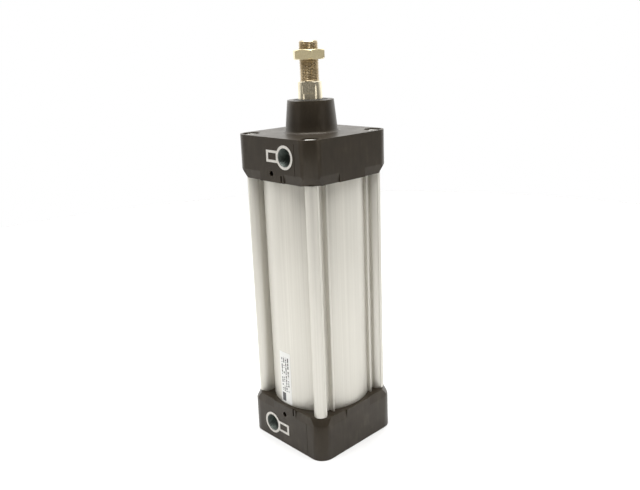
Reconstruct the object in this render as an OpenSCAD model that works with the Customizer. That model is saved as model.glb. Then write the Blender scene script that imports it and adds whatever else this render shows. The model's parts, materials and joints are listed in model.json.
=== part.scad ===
// Double-acting pneumatic cylinder with a profiled barrel and adjustable end cushioning.
// Millimetres. +Z runs along the rod, the origin is the middle of the rear cap's outer face,
// and the ports and cushion needles are on the -Y side. The rod is drawn fully retracted.

/* [Main sizes] */
// Piston travel
stroke = 200; // [50:10:500]
// Width across each square cap
cap_w = 114; // [113:0.5:116]
// Radius of the caps' vertical corners
cap_r = 15; // [13:0.5:16]
// Distance between tie rods
pitch = 89; // [88.5:0.1:89.5]
// Height of the front cap, outer face to barrel
front_h = 44.5; // [44.5:0.5:50]
// Height of the rear cap, outer face to barrel
rear_h = 47; // [44.5:0.5:50]

/* [Boss] */
// Height of the tapered boss above the front cap
boss_h = 32.5; // [30:0.5:36]
// Radius at the foot of the boss
boss_r = 27.3; // [25:0.1:28]
// Radius at the top of the boss
boss_top_r = 24; // [23:0.1:25]

/* [Barrel] */
// Wall of the round tube
tube_wall = 3; // [2.5:0.1:3.5]
// Radius of the four lobes that cover the tie rods
lobe_r = 7; // [6.5:0.1:7.5]
// How far the sensor-slot lips stand from the axis
lip_x = 49.3; // [47:0.1:51]

/* [Ports and needles] */
// Distance of each port from its cap's outer face
port_z = 18.4; // [17:0.1:18.5]
// Sideways offset of each port, mirrored between the caps
port_x = 20.8; // [18:0.1:21]
// Distance of each needle from its cap's outer face
needle_z = 36; // [35.5:0.1:36]

/* [Rod end] */
// Length of the rod-end thread
thread_len = 40; // [36:1:45]
// Height of the lock nut above the thread's shoulder
nut_up = 21.5; // [2:0.5:22]
// Turn of the lock nut about the rod, in degrees
nut_turn = 24; // [0:1:59]
// Turn of the wrench flats about the rod, in degrees
flats_turn = 39; // [0:1:179]
// Across flats of the lock nut
nut_af = 30; // [28:0.5:32]

/* [Hidden] */
$fn = 96;
bore_r = 50;
rod_r = 12.5;
stub_r = 9;
thread_r = 10;
half = cap_w / 2;
tie = pitch / 2;
spigot = 6.5;
stop_gap = 0.3;
piston_len = 32.9;
barrel_len = stroke + 2 * spigot + piston_len + 2 * stop_gap;
front_z = rear_h + barrel_len;
top_z = front_z + front_h;
corner_h = 9.4;
corner_cut = 5.7;
corner_r = (half - cap_r) * sqrt(2) + cap_r - corner_cut;
relief = 1.5;
pad_half = 18;
piston_z = rear_h + spigot + stop_gap;
piston_top = piston_z + piston_len;
mid_z = piston_z + piston_len / 2;
sleeve_len = 28;
lip_tip_r = 1.25;
slot_floor = 43.5;
shoulder_z = piston_top + sleeve_len;
chamber_r = 22;
chamber_a = 8;
chamber_b = 38.6;
web_r = 18;
boss_top = top_z + boss_h;
bush_z = top_z - chamber_a;
wiper_z = boss_top - 6.5;
seal_z = wiper_z - 6;
port_r = 9.32;
thread_z = top_z + 51;
flats_h = 12;
flats_af = 22;
nut_h = 10;
nut_top = thread_z + nut_up + nut_h;
thread_root_r = 9.1;
tie_nut_len = 26;
tie_nut_r = 8.6;
tie_nut_in = 1.5;
seat_in = tie_nut_in + tie_nut_len;
tapped_r = 4.25;
tie_rod_r = 4.45;
tie_grip = 8;
tie_end_in = seat_in - tie_grip + 0.5;
tie_hex_h = 3.5;
needle_r = 4.9;
label_h = 60;
cap_grey = [0.27, 0.25, 0.22];
silver = [0.82, 0.82, 0.81];
steel = [0.7, 0.69, 0.66];
zinc = [0.75, 0.72, 0.58];
black = [0.1, 0.1, 0.1];
white = [0.92, 0.92, 0.9];

// ---- helpers ----

// One copy of the children on each tie-rod axis.
module at_ties() {
    for (x = [-tie, tie], y = [-tie, tie])
        translate([x, y, 0]) children();
}

// A ring between two heights.
module ring(r_out, r_in, z0, z1) {
    translate([0, 0, z0])
        difference() {
            cylinder(r = r_out, h = z1 - z0);
            translate([0, 0, -1]) cylinder(r = r_in, h = z1 - z0 + 2);
        }
}

// A turned solid from [radius, height] points.
module turned(points) {
    rotate_extrude() polygon(points);
}

// A ring of round cord.
module cord(r_mid, r_cord, z) {
    translate([0, 0, z]) rotate_extrude() translate([r_mid, 0]) circle(r = r_cord);
}

// Hexagonal prism with two of its faces towards +Y and -Y.
module hexagon(af, h) {
    cylinder(r = af / sqrt(3), h = h, $fn = 6);
}

// The front end is drawn like the rear one, with z measured inwards from the outer face.
module front_end() {
    translate([0, 0, top_z]) mirror([0, 0, 1]) children();
}

// Turns a part drawn along +Z, from the port face inwards, onto the -Y face at height z.
module from_port_face(x, z) {
    translate([x, -half, z]) rotate([-90, 0, 0]) children();
}

// ---- caps, drawn with the outer face at z = 0 ----

module rounded_square(w, r) {
    for (a = [0, 90]) rotate([0, 0, a]) square([w, w - 2 * r], center = true);
    for (x = [-1, 1], y = [-1, 1])
        translate([x * (w / 2 - r), y * (w / 2 - r)]) circle(r = r);
}

// Slanted wedge over the band beside the barrel, from the middle pad of each side to its ends.
module side_reliefs(h) {
    for (a = [0:90:270], s = [0, 1])
        rotate([0, 0, a])
            mirror([0, s, 0])
            translate([0, half + 3, 0])
            rotate([90, 0, 0])
            linear_extrude(half + 3 - pad_half)
            polygon([[half + relief, h - 2 * corner_h], [half - relief, h], [half - relief, h + 1],
                [half + 4, h + 1], [half + 4, h - 2 * corner_h]]);
}

// Square block with a spigot, cut back towards the barrel: corners by a cone, sides by wedges.
module cap_block(h) {
    difference() {
        intersection() {
            linear_extrude(h) rounded_square(cap_w, cap_r);
            turned([[0, -1], [90, -1], [90, h - 3 * corner_h],
                [corner_r + 3 * corner_cut, h - 3 * corner_h], [corner_r, h], [0, h]]);
        }
        side_reliefs(h);
    }
    translate([0, 0, h - 1])
        cylinder(r = bore_r - 0.05, h = spigot + 1);
}

// Bright outline round the port: a ring and a short box beside it.
module port_outline(side) {
    from_port_face(side * port_x, port_z)
        translate([0, 0, -0.4])
            difference() {
                union() {
                    cylinder(r = 12, h = 0.8);
                    translate([-side * 18 - 9, -6, 0]) cube([18, 12, 0.8]);
                }
                translate([0, 0, -1]) cylinder(r = port_r, h = 3);
                translate([-side * 18.1 - 5.9, -3.5, -1]) cube([11.8, 7, 3]);
            }
}

// Everything cut into a cap: nut seats, port, chamber, needle bore, grooves and the slot.
module cap_cuts(h, side) {
    at_ties() {
        translate([0, 0, -1]) cylinder(r = 9, h = seat_in + 1);
        cylinder(r = 5.25, h = h + 1);
    }
    translate([0, 0, chamber_a]) cylinder(r = chamber_r, h = chamber_b - chamber_a);
    translate([0, 0, chamber_b - 1]) cylinder(r = web_r, h = h);
    translate([0, 0, h - 4.5]) cylinder(r = chamber_r, h = 8);
    ring(bore_r + 1, 47.75, h + 2, h + 5);
    from_port_face(side * port_x, port_z) {
        translate([0, 0, -1]) cylinder(r = port_r, h = 19);
        cylinder(r = 6, h = half - 8);
    }
    from_port_face(0, needle_z) {
        translate([0, 0, -1]) cylinder(r = 6.35, h = 3);
        cylinder(r = 5, h = 21);
        cylinder(r = 2, h = 37);
    }
    translate([0, 19 - half, needle_z]) cylinder(r = 1.5, h = h);
    translate([13.5, -half - 1, h - 7.5]) cube([2, 3, 8]);
    translate([34.7, -half - 1, 4]) cube([0.6, 1.3, h]);
}

module front_cap() {
    color(cap_grey)
        difference() {
            union() {
                front_end() {
                    cap_block(front_h);
                    port_outline(1);
                }
                turned([[0, top_z - 1], [boss_r + 2.6, top_z - 1], [boss_r + 2.6, top_z],
                    [boss_r + 1.2, top_z + 0.4], [boss_r + 0.3, top_z + 1.2], [boss_r - 0.3, top_z + 2.8],
                    [boss_top_r, boss_top], [0, boss_top]]);
            }
            front_end() cap_cuts(front_h, 1);
            translate([0, 0, bush_z - 1]) cylinder(r = 15, h = boss_h);
            translate([0, 0, seal_z]) cylinder(r = 17, h = 7);
            translate([0, 0, wiper_z]) cylinder(r = 18, h = 8);
        }
}

module rear_cap() {
    color(cap_grey)
        difference() {
            union() {
                cap_block(rear_h);
                port_outline(-1);
            }
            cap_cuts(rear_h, -1);
        }
}

// ---- barrel ----

// One quarter of what stands outside the round tube: lobe, web and one side of a sensor slot.
module profile_quarter() {
    web_x = tie - lobe_r + 0.05;
    translate([tie, tie, 0]) cylinder(r = lobe_r, h = barrel_len);
    translate([web_x, 29.5, 0]) cube([slot_floor - web_x, tie - 29.5, barrel_len]);
    translate([tie, tie - 1.9, 0]) cube([lobe_r + 0.3, 1.9, barrel_len]);
    translate([42, 27.85, 0]) cube([lip_x - lip_tip_r - 42, 2 * lip_tip_r - 0.1, barrel_len]);
    translate([lip_x - lip_tip_r, 27.8 + lip_tip_r, 0]) cylinder(r = lip_tip_r, h = barrel_len);
}

module barrel() {
    color(silver)
        translate([0, 0, rear_h])
            difference() {
                union() {
                    cylinder(r = bore_r + tube_wall, h = barrel_len);
                    for (sx = [0, 1], sy = [0, 1])
                        mirror([sx, 0, 0]) mirror([0, sy, 0]) profile_quarter();
                }
                translate([0, 0, -1]) cylinder(r = bore_r, h = barrel_len + 2);
                translate([0, 0, -1]) at_ties() cylinder(r = 5, h = barrel_len + 2);
            }
}

module type_label() {
    color(white)
        intersection() {
            ring(bore_r + tube_wall + 0.17, bore_r + tube_wall + 0.02, rear_h + 1, rear_h + 1 + label_h);
            translate([-8.3, -60, rear_h]) cube([16.6, 20, label_h + 2]);
        }
}

// ---- tie rods and their nuts ----

module tie_rods() {
    color(steel)
        at_ties()
            translate([0, 0, tie_end_in])
            cylinder(r = tie_rod_r, h = top_z - 2 * tie_end_in);
}

// Long round nut: hexagon socket and free thread at the outside, tie-rod thread inside.
module tie_rod_nuts() {
    color(zinc)
        at_ties()
            difference() {
                turned([[0, tie_nut_in], [tie_nut_r - 0.8, tie_nut_in], [tie_nut_r, tie_nut_in + 0.8],
                    [tie_nut_r, seat_in], [0, seat_in]]);
                cylinder(r = tapped_r, h = seat_in + 1);
                translate([0, 0, tie_end_in - 0.5]) cylinder(r = tie_rod_r + 0.05, h = tie_grip + 2);
                hexagon(12, tie_nut_in + tie_hex_h);
            }
}

module front_tie_rod_nuts() {
    front_end() tie_rod_nuts();
}

module rear_tie_rod_nuts() {
    tie_rod_nuts();
}

// ---- rod, rod end and the seals in the boss ----

module piston_rod() {
    color(steel)
        difference() {
            turned([[0, rear_h - 16.2], [7, rear_h - 16.2], [8, rear_h - 15.2], [8, rear_h - 1.2],
                [stub_r, rear_h - 1.2], [stub_r, shoulder_z], [rod_r, shoulder_z],
                [rod_r, thread_z - 1], [rod_r - 1, thread_z], [thread_r, thread_z],
                [thread_r, nut_top + 0.2], [thread_root_r, nut_top + 0.4], [thread_root_r, nut_top + 1],
                [thread_r, nut_top + 1.2],
                [thread_r, thread_z + thread_len - 1.5], [thread_r - 1.5, thread_z + thread_len],
                [0, thread_z + thread_len]]);
            for (s = [0, 180])
                rotate([0, 0, flats_turn + s])
                    translate([-15, flats_af / 2, thread_z - flats_h]) cube([30, 5, flats_h + 0.01]);
        }
}

// Thin hexagon nut, chamfered on both faces.
module rod_lock_nut() {
    color(zinc)
        translate([0, 0, thread_z + nut_up])
            rotate([0, 0, nut_turn])
            difference() {
                intersection() {
                    hexagon(nut_af, nut_h);
                    turned([[0, 0], [nut_af / 2 - 0.5, 0], [nut_af / 2 + 3, 1.9], [nut_af / 2 + 3, nut_h - 1.9],
                        [nut_af / 2 - 0.5, nut_h], [0, nut_h]]);
                }
                translate([0, 0, -1]) cylinder(r = thread_r + 0.05, h = nut_h + 2);
                translate([0, 0, -0.01]) cylinder(r1 = thread_r + 0.9, r2 = thread_r - 0.1, h = 1);
                translate([0, 0, nut_h - 0.99]) cylinder(r1 = thread_r - 0.1, r2 = thread_r + 0.9, h = 1);
            }
}

module rod_wiper() {
    color(black)
        turned([[rod_r + 0.6, wiper_z], [17.95, wiper_z], [17.95, boss_top - 0.6], [17, boss_top - 0.3],
            [rod_r + 1.6, boss_top + 0.2], [rod_r + 0.05, boss_top + 0.7], [rod_r + 0.05, boss_top - 0.3],
            [rod_r + 0.6, boss_top - 2.5]]);
}

module rod_seal() {
    color(black)
        turned([[rod_r + 0.05, seal_z + 0.2], [14.1, seal_z + 0.2], [14.7, seal_z + 3],
            [15.4, seal_z + 0.2], [16.95, seal_z + 0.2], [16.95, wiper_z - 0.1],
            [rod_r + 0.4, wiper_z - 0.1], [rod_r + 0.4, seal_z + 2]]);
}

module rod_bush() {
    color([0.62, 0.48, 0.3])
        ring(14.98, rod_r + 0.05, bush_z, seal_z);
}

// ---- static seals and end cushioning ----

module rear_barrel_o_ring() {
    color(black) cord(48.87, 1.1, rear_h + 3.5);
}

module front_barrel_o_ring() {
    color(black) cord(48.87, 1.1, front_z - 3.5);
}

// Floating lip ring that closes on the cushion sleeve.
module cushion_seal() {
    color(black)
        turned([[17.08, rear_h + 0.2], [19, rear_h + 1.2], [20.4, rear_h - 4.2],
            [21.7, rear_h - 4.2], [21.7, rear_h + 3.2], [18.4, rear_h + 3.2]]);
}

module rear_cushion_seal() {
    cushion_seal();
}

module front_cushion_seal() {
    translate([0, 0, front_z + rear_h]) mirror([0, 0, 1]) cushion_seal();
}

module front_cushion_sleeve() {
    color(steel)
        turned([[stub_r + 0.02, piston_top], [17, piston_top], [17, shoulder_z - 7],
            [15.6, shoulder_z], [stub_r + 0.02, shoulder_z]]);
}

// Cup-shaped sleeve: the piston nut clamps its floor and sits inside it.
module rear_cushion_sleeve() {
    color(steel)
        turned([[stub_r + 0.02, piston_z], [17, piston_z], [17, piston_z - sleeve_len + 7],
            [15.6, piston_z - sleeve_len], [14.2, piston_z - sleeve_len], [14.2, piston_z - 8],
            [stub_r + 0.02, piston_z - 8]]);
}

// ---- piston ----

// Half piston with its lip-seal groove, split through the magnet groove.
module piston_half() {
    color(silver)
        turned([[stub_r + 0.02, piston_z], [48.4, piston_z], [49.2, piston_z + 0.8],
            [49.2, piston_z + 3], [44, piston_z + 3], [44, piston_z + 10], [49.2, piston_z + 10],
            [49.2, piston_z + 11.5], [40, piston_z + 11.5], [40, mid_z], [11.4, mid_z],
            [11.4, mid_z - 1.3], [stub_r + 0.02, mid_z - 1.3]]);
}

module mirrored_piston() {
    translate([0, 0, 2 * mid_z]) mirror([0, 0, 1]) children();
}

module rear_piston_half() {
    piston_half();
}

module front_piston_half() {
    mirrored_piston() piston_half();
}

module piston_seal() {
    color(black)
        turned([[44.05, piston_z + 9.7], [49.3, piston_z + 9.7], [49.95, piston_z + 4.6],
            [49.2, piston_z + 3.4], [47.5, piston_z + 7], [46.5, piston_z + 7],
            [44.9, piston_z + 3.4], [44.05, piston_z + 4.4]]);
}

module rear_piston_seal() {
    piston_seal();
}

module front_piston_seal() {
    mirrored_piston() piston_seal();
}

module piston_guide_ring() {
    color([0.85, 0.83, 0.75]) ring(49.93, 46.6, mid_z - 4.8, mid_z + 4.8);
}

module piston_magnet() {
    color([0.25, 0.25, 0.25]) ring(46.5, 40.05, mid_z - 4.8, mid_z + 4.8);
}

module piston_o_ring() {
    color(black) cord(10.2, 1.13, mid_z);
}

module piston_nut() {
    color(zinc)
        translate([0, 0, piston_z - 21])
            difference() {
                hexagon(24, 13);
                translate([0, 0, -1]) cylinder(r = 8.03, h = 15);
            }
}

// ---- cushion needles, drawn from the port face inwards ----

module needle() {
    color(steel)
        from_port_face(0, needle_z)
            difference() {
                turned([[0, 4], [needle_r - 0.5, 4], [needle_r, 4.5], [needle_r, 12.1], [3.4, 12.1],
                    [3.4, 14.5], [needle_r, 14.5], [needle_r, 16], [1.9, 16], [1.9, 19],
                    [0.8, 24], [0, 24]]);
                translate([0, 0, 3]) hexagon(4, 5);
            }
}

module needle_o_ring() {
    color(black) from_port_face(0, needle_z) cord(4.2, 0.77, 13.3);
}

// Disc staked flush with the cap; a key reaches the needle through its hole.
module needle_retainer() {
    color(cap_grey) from_port_face(0, needle_z) ring(6.3, 2.75, 0.05, 2);
}

module rear_needle() {
    needle();
}

module front_needle() {
    front_end() needle();
}

module rear_needle_o_ring() {
    needle_o_ring();
}

module front_needle_o_ring() {
    front_end() needle_o_ring();
}

module rear_needle_retainer() {
    needle_retainer();
}

module front_needle_retainer() {
    front_end() needle_retainer();
}

front_cap();
rear_cap();
barrel();
tie_rods();
front_tie_rod_nuts();
rear_tie_rod_nuts();
piston_rod();
rod_lock_nut();
rod_wiper();
rod_seal();
rod_bush();
front_barrel_o_ring();
rear_barrel_o_ring();
front_cushion_seal();
rear_cushion_seal();
front_cushion_sleeve();
rear_cushion_sleeve();
front_piston_half();
rear_piston_half();
front_piston_seal();
rear_piston_seal();
piston_guide_ring();
piston_magnet();
piston_o_ring();
piston_nut();
front_needle();
rear_needle();
front_needle_o_ring();
rear_needle_o_ring();
front_needle_retainer();
rear_needle_retainer();
type_label();
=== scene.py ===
"""Looks for a profile-barrel pneumatic cylinder, standing on its rear cap. Metres, +Z along the rod."""
import json
import math

import bmesh
import bpy
from mathutils import Matrix, Vector


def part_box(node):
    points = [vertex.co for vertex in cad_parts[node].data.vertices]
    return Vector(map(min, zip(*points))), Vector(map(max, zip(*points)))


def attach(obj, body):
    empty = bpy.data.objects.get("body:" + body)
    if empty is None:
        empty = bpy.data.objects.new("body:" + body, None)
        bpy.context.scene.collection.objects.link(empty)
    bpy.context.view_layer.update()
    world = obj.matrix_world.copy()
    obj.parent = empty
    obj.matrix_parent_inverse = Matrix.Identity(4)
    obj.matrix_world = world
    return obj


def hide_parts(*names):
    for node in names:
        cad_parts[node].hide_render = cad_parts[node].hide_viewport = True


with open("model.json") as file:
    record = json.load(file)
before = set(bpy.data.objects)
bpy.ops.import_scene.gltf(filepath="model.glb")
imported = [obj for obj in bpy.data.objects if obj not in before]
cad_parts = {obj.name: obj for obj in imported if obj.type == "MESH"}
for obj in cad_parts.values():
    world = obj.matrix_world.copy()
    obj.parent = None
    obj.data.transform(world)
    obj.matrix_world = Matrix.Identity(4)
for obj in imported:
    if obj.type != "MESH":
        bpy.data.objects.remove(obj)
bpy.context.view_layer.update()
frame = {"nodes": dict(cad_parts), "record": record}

MM = 0.001

# ---- camera: where it stands, how it looks down, and its lens ----
CAMERA_PLACE = Vector((0.5181, -0.4817, 0.4216))
LOOK_AZIMUTH = 46.53
LOOK_DOWN = 14.10
CAMERA_ROLL = -2.17
LENS_MM = 38.34
SHIFT = (-0.0026, -0.0409)


# ---- helpers ----

def make_material(name):
    material = bpy.data.materials.new(name)
    material.use_nodes = True
    nodes = material.node_tree.nodes
    return material, nodes, material.node_tree.links, nodes["Principled BSDF"]


def add_node(nodes, kind, **values):
    node = nodes.new(kind)
    for key, value in values.items():
        if key in node.inputs:
            node.inputs[key].default_value = value
        else:
            setattr(node, key, value)
    return node


def object_coordinates(nodes, links, scale):
    place = add_node(nodes, "ShaderNodeTexCoord")
    mapping = add_node(nodes, "ShaderNodeMapping")
    mapping.inputs["Scale"].default_value = scale
    links.new(place.outputs["Object"], mapping.inputs["Vector"])
    return mapping.outputs["Vector"]


def noise(nodes, links, scale, detail=4.0, size=1.0):
    """Noise in object space; scale stretches it along each axis."""
    texture = add_node(nodes, "ShaderNodeTexNoise", Detail=detail, Scale=size)
    links.new(object_coordinates(nodes, links, scale), texture.inputs["Vector"])
    return texture.outputs["Fac"]


def ramp(nodes, links, fac, stops):
    """A colour ramp; stops are (position, colour or grey)."""
    node = add_node(nodes, "ShaderNodeValToRGB")
    elements = node.color_ramp.elements
    while len(elements) < len(stops):
        elements.new(0.5)
    for element, (position, colour) in zip(elements, stops):
        element.position = position
        rgb = colour if isinstance(colour, tuple) else (colour,) * 3
        element.color = (*rgb, 1.0)
    links.new(fac, node.inputs["Fac"])
    return node.outputs["Color"]


def math_node(nodes, links, operation, a, b=0.0):
    """A Math node; a and b are numbers or sockets."""
    node = add_node(nodes, "ShaderNodeMath", operation=operation)
    for socket, value in zip(node.inputs, (a, b)):
        if isinstance(value, (int, float)):
            socket.default_value = value
        else:
            links.new(value, socket)
    return node.outputs[0]


def bump(nodes, links, shader, height, distance, strength=1.0):
    node = add_node(nodes, "ShaderNodeBump", Strength=strength, Distance=distance)
    links.new(height, node.inputs["Height"])
    links.new(node.outputs["Normal"], shader.inputs["Normal"])


# ---- materials ----

PORT_THREAD_PITCH = 1.814 * MM


def cap_coating():
    """Dark grey-brown coating on die-cast caps: mottled, with faint upright tool streaks."""
    material, nodes, links, shader = make_material("cap_coating")
    streaks = noise(nodes, links, (300.0, 300.0, 60.0), detail=4.0)
    patches = noise(nodes, links, (60.0, 60.0, 48.0), detail=5.0)
    mixed = math_node(nodes, links, "ADD", math_node(nodes, links, "MULTIPLY", streaks, 0.4),
                      math_node(nodes, links, "MULTIPLY", patches, 0.6))
    colour = ramp(nodes, links, mixed, [(0.3, (0.014, 0.0103, 0.0062)), (0.55, (0.022, 0.0165, 0.0105)),
                                        (0.75, (0.040, 0.032, 0.0225))])
    links.new(colour, shader.inputs["Base Color"])
    links.new(ramp(nodes, links, mixed, [(0.3, 0.46), (0.7, 0.36)]), shader.inputs["Roughness"])
    grain = noise(nodes, links, (1500.0, 1500.0, 1500.0), detail=2.0)
    bump(nodes, links, shader, grain, 0.02 * MM, 0.5)
    shader.inputs["Specular IOR Level"].default_value = 0.37
    shader.inputs["Specular Tint"].default_value = (1.0, 0.91, 0.80, 1.0)
    return material


def bare_metal():
    """Milled, uncoated ring and box round each port."""
    material, nodes, links, shader = make_material("bare_metal")
    fine = noise(nodes, links, (900.0, 900.0, 900.0), detail=3.0)
    links.new(ramp(nodes, links, fine, [(0.3, (0.50, 0.48, 0.44)), (0.7, (0.66, 0.64, 0.60))]),
              shader.inputs["Base Color"])
    shader.inputs["Metallic"].default_value = 0.35
    shader.inputs["Roughness"].default_value = 0.5
    bump(nodes, links, shader, fine, 0.02 * MM, 0.4)
    return material


def port_bore():
    """Grey-green machined metal inside the ports, ribbed by the thread, with painted shade in each
    groove.
    """
    material, nodes, links, shader = make_material("port_bore")
    place = object_coordinates(nodes, links, (1.0, 1.0, 1.0))
    split = add_node(nodes, "ShaderNodeSeparateXYZ")
    links.new(place, split.inputs[0])
    thread_relief_and_shade = math_node(nodes, links, "SINE", math_node(nodes, links, "MULTIPLY", split.outputs["Y"],
                                                      2 * math.pi / PORT_THREAD_PITCH))
    # Colour follows the thread's turns: painted shade in each groove, lighter on the crests.
    links.new(ramp(nodes, links, thread_relief_and_shade, [(0.0, (0.12, 0.14, 0.125)), (1.0, (0.30, 0.34, 0.31))]),
              shader.inputs["Base Color"])
    shader.inputs["Metallic"].default_value = 0.6
    shader.inputs["Roughness"].default_value = 0.42
    bump(nodes, links, shader, thread_relief_and_shade, 0.3 * MM, 0.6)
    return material


def anodised():
    """Matt silver anodised extrusion with faint die lines along the barrel."""
    material, nodes, links, shader = make_material("anodised")
    lines = noise(nodes, links, (700.0, 700.0, 3.0), detail=4.0)
    clouds = noise(nodes, links, (14.0, 14.0, 5.0), detail=2.0)
    mixed = math_node(nodes, links, "ADD", math_node(nodes, links, "MULTIPLY", lines, 0.6),
                      math_node(nodes, links, "MULTIPLY", clouds, 0.4))
    links.new(ramp(nodes, links, mixed, [(0.3, (0.58, 0.56, 0.508)), (0.7, (0.68, 0.662, 0.606))]),
              shader.inputs["Base Color"])
    links.new(ramp(nodes, links, mixed, [(0.3, 0.44), (0.7, 0.54)]), shader.inputs["Roughness"])
    shader.inputs["Metallic"].default_value = 0.5
    bump(nodes, links, shader, lines, 0.03 * MM, 0.35)
    return material


def metal(name, dark, light, roughness, stretch=(600.0, 600.0, 600.0), bump_mm=0.01, metallic=1.0):
    """Bare or plated steel: colour and gloss vary between dark and light along the stretch."""
    material, nodes, links, shader = make_material(name)
    wear = noise(nodes, links, stretch, detail=4.0)
    links.new(ramp(nodes, links, wear, [(0.3, dark), (0.7, light)]), shader.inputs["Base Color"])
    links.new(ramp(nodes, links, wear, [(0.3, roughness * 1.25), (0.7, roughness * 0.85)]),
              shader.inputs["Roughness"])
    shader.inputs["Metallic"].default_value = metallic
    bump(nodes, links, shader, wear, bump_mm * MM, 0.4)
    return material


def rubber():
    material, nodes, links, shader = make_material("rubber")
    dust = noise(nodes, links, (500.0, 500.0, 500.0), detail=3.0)
    links.new(ramp(nodes, links, dust, [(0.3, 0.008), (0.8, 0.02)]), shader.inputs["Base Color"])
    links.new(ramp(nodes, links, dust, [(0.3, 0.55), (0.8, 0.7)]), shader.inputs["Roughness"])
    bump(nodes, links, shader, dust, 0.02 * MM, 0.4)
    return material


def plastic(name, dark, light, roughness):
    material, nodes, links, shader = make_material(name)
    fine = noise(nodes, links, (400.0, 400.0, 400.0), detail=3.0)
    links.new(ramp(nodes, links, fine, [(0.3, dark), (0.7, light)]), shader.inputs["Base Color"])
    shader.inputs["Roughness"].default_value = roughness
    bump(nodes, links, shader, fine, 0.01 * MM, 0.3)
    return material


def between(nodes, links, value, middle, reach):
    """1 where value lies within reach of middle, else 0."""
    node = math_node(nodes, links, "COMPARE", value, middle)
    node.node.inputs[2].default_value = reach
    return node


def label_film():
    """White film with a dark block and broken grey columns in place of print."""
    material, nodes, links, shader = make_material("label_film")
    split = add_node(nodes, "ShaderNodeSeparateXYZ")
    links.new(object_coordinates(nodes, links, (1.0, 1.0, 1.0)), split.inputs[0])
    across, along = split.outputs["X"], split.outputs["Z"]
    column_pitch = 3.1 * MM
    column_half = 0.27
    column_step = 7.3
    marks_per_metre = 620.0
    mark_share = 0.47
    print_middle, print_half = 82 * MM, 20 * MM
    print_half_width = 6.6 * MM
    block_across, block_half_width = -3.4 * MM, 2.8 * MM
    block_middle, block_half = 55 * MM, 5 * MM
    columns = math_node(nodes, links, "DIVIDE", across, column_pitch)
    in_column = between(nodes, links, math_node(nodes, links, "FRACT", columns), 0.5, column_half)
    cell = add_node(nodes, "ShaderNodeCombineXYZ")
    links.new(math_node(nodes, links, "MULTIPLY", math_node(nodes, links, "FLOOR", columns), column_step),
              cell.inputs["X"])
    links.new(math_node(nodes, links, "MULTIPLY", along, marks_per_metre), cell.inputs["Y"])
    marks = add_node(nodes, "ShaderNodeTexNoise", Scale=1.0, Detail=1.0)
    links.new(cell.outputs[0], marks.inputs["Vector"])
    dashes = math_node(nodes, links, "GREATER_THAN", marks.outputs["Fac"], mark_share)
    printed = math_node(nodes, links, "MULTIPLY", in_column, dashes)
    printed = math_node(nodes, links, "MULTIPLY", printed,
                        between(nodes, links, along, print_middle, print_half))
    printed = math_node(nodes, links, "MULTIPLY", printed,
                        between(nodes, links, across, 0.0, print_half_width))
    block = math_node(nodes, links, "MULTIPLY",
                      between(nodes, links, across, block_across, block_half_width),
                      between(nodes, links, along, block_middle, block_half))
    ink = math_node(nodes, links, "MAXIMUM", printed, block)
    links.new(ramp(nodes, links, ink, [(0.0, (0.74, 0.74, 0.72)), (1.0, (0.055, 0.055, 0.055))]),
              shader.inputs["Base Color"])
    shader.inputs["Roughness"].default_value = 0.4
    return material


MATERIALS = {
    "cap_dark": cap_coating(),
    "barrel_silver": anodised(),
    "piston_alloy": metal("turned_alloy", (0.6, 0.6, 0.6), (0.72, 0.72, 0.72), 0.3),
    "rod_chrome": metal("rod_chrome", (0.56, 0.50, 0.37), (0.76, 0.69, 0.54), 0.24,
                        stretch=(260.0, 260.0, 40.0), metallic=0.9),
    "plain_steel": metal("plain_steel", (0.42, 0.41, 0.39), (0.55, 0.54, 0.52), 0.32),
    "zinc_steel": metal("zinc_steel", (0.62, 0.53, 0.32), (0.76, 0.67, 0.44), 0.36, metallic=0.75),
    "bush_bronze": metal("bush_bronze", (0.36, 0.25, 0.13), (0.5, 0.36, 0.2), 0.4),
    "seal_rubber": rubber(),
    "guide_plastic": plastic("guide_plastic", (0.62, 0.6, 0.52), (0.72, 0.7, 0.62), 0.5),
    "magnet_compound": plastic("magnet_compound", (0.03, 0.03, 0.03), (0.06, 0.06, 0.06), 0.6),
    "label_white": label_film(),
}
PORT_RING = bare_metal()
PORT_BORE = port_bore()
BRIGHT_ZINC = metal("bright_zinc", (0.72, 0.71, 0.67), (0.88, 0.87, 0.83), 0.34, metallic=0.6)
THREAD_STEEL = metal("thread_steel", (0.40, 0.325, 0.215), (0.52, 0.435, 0.305), 0.28,
                     stretch=(90.0, 90.0, 90.0), bump_mm=0.0, metallic=0.95)


# ---- CAD nodes: materials by slot, welded, with small edge radii ----

WELD_REACH = 0.001 * MM


def edge_radius(node, width, angle=38.0):
    """Rounds a node's sharp edges without touching its mesh data."""
    weld = node.modifiers.new("weld", "WELD")
    weld.merge_threshold = WELD_REACH
    bevel = node.modifiers.new("edge_radius", "BEVEL")
    bevel.width = width
    bevel.segments = 3
    bevel.limit_method = "ANGLE"
    bevel.angle_limit = math.radians(angle)
    bevel.harden_normals = True
    bevel.use_clamp_overlap = True


record = frame["record"]
for part in record["subparts"]:
    node = frame["nodes"][part["node"]]
    node.data.materials.clear()
    node.data.materials.append(MATERIALS[part["material_slot"]])


# ---- caps: bare port outlines, machined ports ----

PORT_R = 9.4 * MM
PORT_OFFSET = 20.8 * MM
PORT_INSET = 18.4 * MM
PORT_DEPTH = 18.5 * MM
PORT_DRILLED_ON = 20.0 * MM
BORE_MARGIN = 0.3 * MM
OUTLINE_RAISED = 0.2 * MM
NUT_RECESS = 1.5 * MM
FACE_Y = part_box("front_cap")[0][1]
CAP_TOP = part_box("front_tie_rod_nuts")[1][2] + NUT_RECESS


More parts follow.
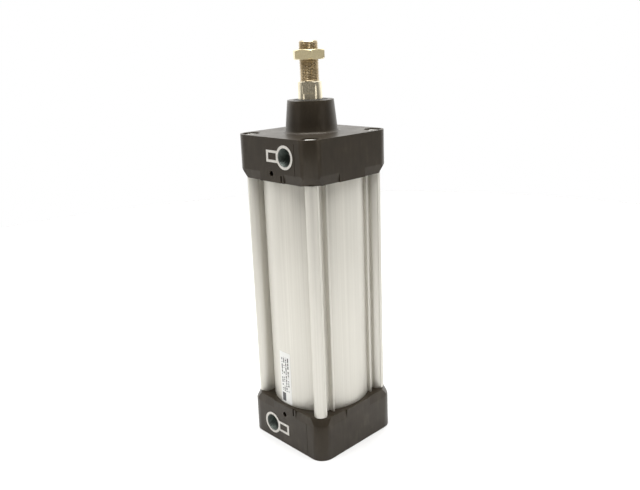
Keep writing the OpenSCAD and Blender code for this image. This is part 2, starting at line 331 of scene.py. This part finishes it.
def paint_port(name, x, z):
    """Gives the raised outline and the port's wall materials of their own, by where each face lies."""
    mesh = frame["nodes"][name].data
    mesh.materials.append(PORT_RING)
    mesh.materials.append(PORT_BORE)
    for polygon in mesh.polygons:
        middle = polygon.center
        from_axis = math.hypot(middle.x - x, middle.z - z)
        if middle.y < FACE_Y + OUTLINE_RAISED and from_axis > PORT_R - BORE_MARGIN:
            polygon.material_index = 1
        elif from_axis < PORT_R and middle.y < FACE_Y + PORT_DEPTH + PORT_DRILLED_ON:
            polygon.material_index = 2


paint_port("front_cap", PORT_OFFSET, CAP_TOP - PORT_INSET)
paint_port("rear_cap", -PORT_OFFSET, PORT_INSET)
for name in ("front_tie_rod_nuts", "rear_tie_rod_nuts"):
    frame["nodes"][name].data.materials[0] = BRIGHT_ZINC

EDGE_RADII = {"front_cap": 0.7, "rear_cap": 0.7, "barrel": 0.25, "rod_lock_nut": 0.25,
              "front_tie_rod_nuts": 0.2, "rear_tie_rod_nuts": 0.2}
for name, radius in EDGE_RADII.items():
    edge_radius(frame["nodes"][name], radius * MM)


# ---- rod: turned blank, wrench flats and a rolled helical thread ----

ROD_SIDES = 144
THREAD_PITCH = 1.5 * MM
THREAD_DEPTH = 0.9 * MM
THREAD_R = 10.0 * MM
ROD_R = 12.5 * MM
STUB_R = 9.0 * MM
FLATS_HALF = 11.0 * MM
FLATS_TURN = math.radians(39.0)
ROD_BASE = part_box("piston_rod")[0][2]
ROD_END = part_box("piston_rod")[1][2]
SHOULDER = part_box("front_cushion_sleeve")[1][2]
STUB_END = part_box("piston_nut")[1][2]
THREAD_LENGTH = 40.0 * MM
FLATS_LENGTH = 12.0 * MM
THREAD_START = ROD_END - THREAD_LENGTH
FLATS_START = THREAD_START - FLATS_LENGTH
THREAD_RUNOUT = 1.2 * MM
TIP_CHAMFER = 1.5 * MM
STEPS_PER_TURN = 10
CREST_FLAT = 0.12


def thread_radius(z, angle):
    """Radius of the thread at a height and angle: a rounded 60 degree profile along a helix."""
    phase = (z / THREAD_PITCH - angle / (2 * math.pi)) % 1.0
    crest = abs(2 * phase - 1)
    depth = THREAD_DEPTH * min(max((crest - CREST_FLAT) / (1.0 - 2 * CREST_FLAT), 0.0), 1.0)
    runout = min(max((z - THREAD_START - 0.4 * MM) / THREAD_RUNOUT, 0.0), 1.0)
    chamfer = THREAD_R - max(0.0, z - (ROD_END - TIP_CHAMFER))
    return min(THREAD_R - depth * runout, chamfer)


def rod_rows():
    """(height, radius or None for thread, flattened) from the rear end to the thread's tip."""
    rows = [(ROD_BASE, STUB_R - 2 * MM, False), (ROD_BASE + 1 * MM, STUB_R - 1 * MM, False),
            (STUB_END, STUB_R - 1 * MM, False), (STUB_END, STUB_R, False), (SHOULDER, STUB_R, False),
            (SHOULDER, ROD_R, False), (FLATS_START, ROD_R, False), (FLATS_START, ROD_R, True),
            (THREAD_START - 1.0 * MM, ROD_R, True), (THREAD_START - 0.4 * MM, ROD_R - 0.35 * MM, True),
            (THREAD_START, ROD_R - 1.0 * MM, True), (THREAD_START, THREAD_R, False)]
    steps = int((ROD_END - THREAD_START) / (THREAD_PITCH / STEPS_PER_TURN))
    for i in range(1, steps + 1):
        rows.append((THREAD_START + (ROD_END - THREAD_START) * i / steps, None, False))
    return rows


def rod_mesh():
    """Rings of points joined up the rod; faces above the shoulder take the thread's steel."""
    mesh = bpy.data.meshes.new("piston_rod_turned")
    model = bmesh.new()
    rings = []
    for z, radius, flattened in rod_rows():
        ring = []
        for j in range(ROD_SIDES):
            angle = 2 * math.pi * j / ROD_SIDES
            r = thread_radius(z, angle) if radius is None else radius
            point = Vector((r * math.cos(angle), r * math.sin(angle), 0.0))
            if flattened:
                point.y = min(max(point.y, -FLATS_HALF), FLATS_HALF)
            point.rotate(Matrix.Rotation(FLATS_TURN, 3, "Z"))
            ring.append(model.verts.new((point.x, point.y, z)))
        rings.append(ring)
    for low, high in zip(rings, rings[1:]):
        for j in range(ROD_SIDES):
            k = (j + 1) % ROD_SIDES
            model.faces.new((low[j], low[k], high[k], high[j]))
    model.faces.new(list(reversed(rings[0])))
    model.faces.new(rings[-1])
    bmesh.ops.recalc_face_normals(model, faces=model.faces)
    for face in model.faces:
        face.smooth = True
        threaded = face.calc_center_median().z > THREAD_START + 0.01 * MM
        face.material_index = 1 if threaded else 0
    model.to_mesh(mesh)
    model.free()
    mesh.set_sharp_from_angle(angle=math.radians(32.0))
    mesh.materials.append(MATERIALS["rod_chrome"])
    mesh.materials.append(THREAD_STEEL)
    return mesh


rod = bpy.data.objects.new("piston_rod_turned", rod_mesh())
bpy.context.collection.objects.link(rod)
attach(rod, "rod")
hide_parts("piston_rod")


# ---- studio: floor, lights, surroundings ----

FLOOR_R = 1.3
WARM = (1.0, 0.975, 0.93)
WALL_WAY = (-0.70, 0.67, 0.25)
ROOM_TONES = [(0.0, (0.21, 0.20, 0.18)), (0.33, (0.06, 0.058, 0.052)), (0.52, (0.31, 0.305, 0.29)),
              (0.75, (1.6, 1.6, 1.57))]


def floor():
    """Pale disc under the object."""
    bpy.ops.mesh.primitive_circle_add(vertices=96, radius=FLOOR_R, fill_type="NGON", location=(0, 0, 0))
    plane = bpy.context.object
    plane.name = "floor"
    material, nodes, links, shader = make_material("floor_paper")
    shader.inputs["Base Color"].default_value = (0.75, 0.75, 0.75, 1.0)
    shader.inputs["Roughness"].default_value = 0.9
    plane.data.materials.append(material)


def area_light(name, place, target, size, power, colour=(1.0, 1.0, 1.0)):
    data = bpy.data.lights.new(name, "AREA")
    data.shape = "RECTANGLE"
    data.size, data.size_y = size
    data.energy = power
    data.color = colour
    light = bpy.data.objects.new(name, data)
    bpy.context.collection.objects.link(light)
    light.location = place
    direction = Vector(target) - Vector(place)
    light.visible_camera = False
    light.rotation_euler = direction.to_track_quat("-Z", "Y").to_euler()


def surroundings():
    """White to the camera; to the object a room, light behind it and dim on the viewer's side."""
    world = bpy.data.worlds.new("studio")
    bpy.context.scene.world = world
    world.use_nodes = True
    nodes, links = world.node_tree.nodes, world.node_tree.links
    room = nodes["Background"]
    white = add_node(nodes, "ShaderNodeBackground", Color=(1.0, 1.0, 1.0, 1.0), Strength=1.0)
    way = add_node(nodes, "ShaderNodeTexCoord")
    behind = add_node(nodes, "ShaderNodeVectorMath", operation="DOT_PRODUCT")
    links.new(way.outputs["Generated"], behind.inputs[0])
    behind.inputs[1].default_value = WALL_WAY
    tone = math_node(nodes, links, "MULTIPLY_ADD", behind.outputs["Value"], 0.5)
    tone.node.inputs[2].default_value = 0.5
    links.new(ramp(nodes, links, tone, ROOM_TONES), room.inputs["Color"])
    seen = add_node(nodes, "ShaderNodeLightPath")
    mix = add_node(nodes, "ShaderNodeMixShader")
    links.new(seen.outputs["Is Camera Ray"], mix.inputs[0])
    links.new(room.outputs[0], mix.inputs[1])
    links.new(white.outputs[0], mix.inputs[2])
    links.new(mix.outputs[0], nodes["World Output"].inputs["Surface"])


def camera():
    data = bpy.data.cameras.new("camera")
    data.sensor_width = 36.0
    data.lens = LENS_MM
    data.shift_x, data.shift_y = SHIFT
    data.clip_start = 0.01
    view = bpy.data.objects.new("camera", data)
    bpy.context.collection.objects.link(view)
    turn = (Matrix.Rotation(math.radians(LOOK_AZIMUTH), 4, "Z")
            @ Matrix.Rotation(math.radians(90.0 - LOOK_DOWN), 4, "X")
            @ Matrix.Rotation(math.radians(CAMERA_ROLL), 4, "Z"))
    view.matrix_world = Matrix.Translation(CAMERA_PLACE) @ turn
    bpy.context.scene.camera = view


floor()
surroundings()
camera()
# A large lamp above, two narrow strips that draw bands on the round rod, and a low fill.
area_light("overhead", (0.15, -0.15, 1.55), (0, 0, 0), (1.3, 1.3), 39.0)
area_light("left_strip", (-0.35, -1.15, 0.42), (0, 0, 0.38), (0.16, 0.5), 0.9, WARM)
area_light("right_strip", (1.15, 0.25, 0.42), (0, 0, 0.38), (0.16, 0.5), 0.9, WARM)
area_light("low_left", (-0.05, -0.62, 0.04), (0, 0, 0.08), (0.5, 0.08), 0.12, WARM)
bpy.context.scene.view_settings.view_transform = "Standard"
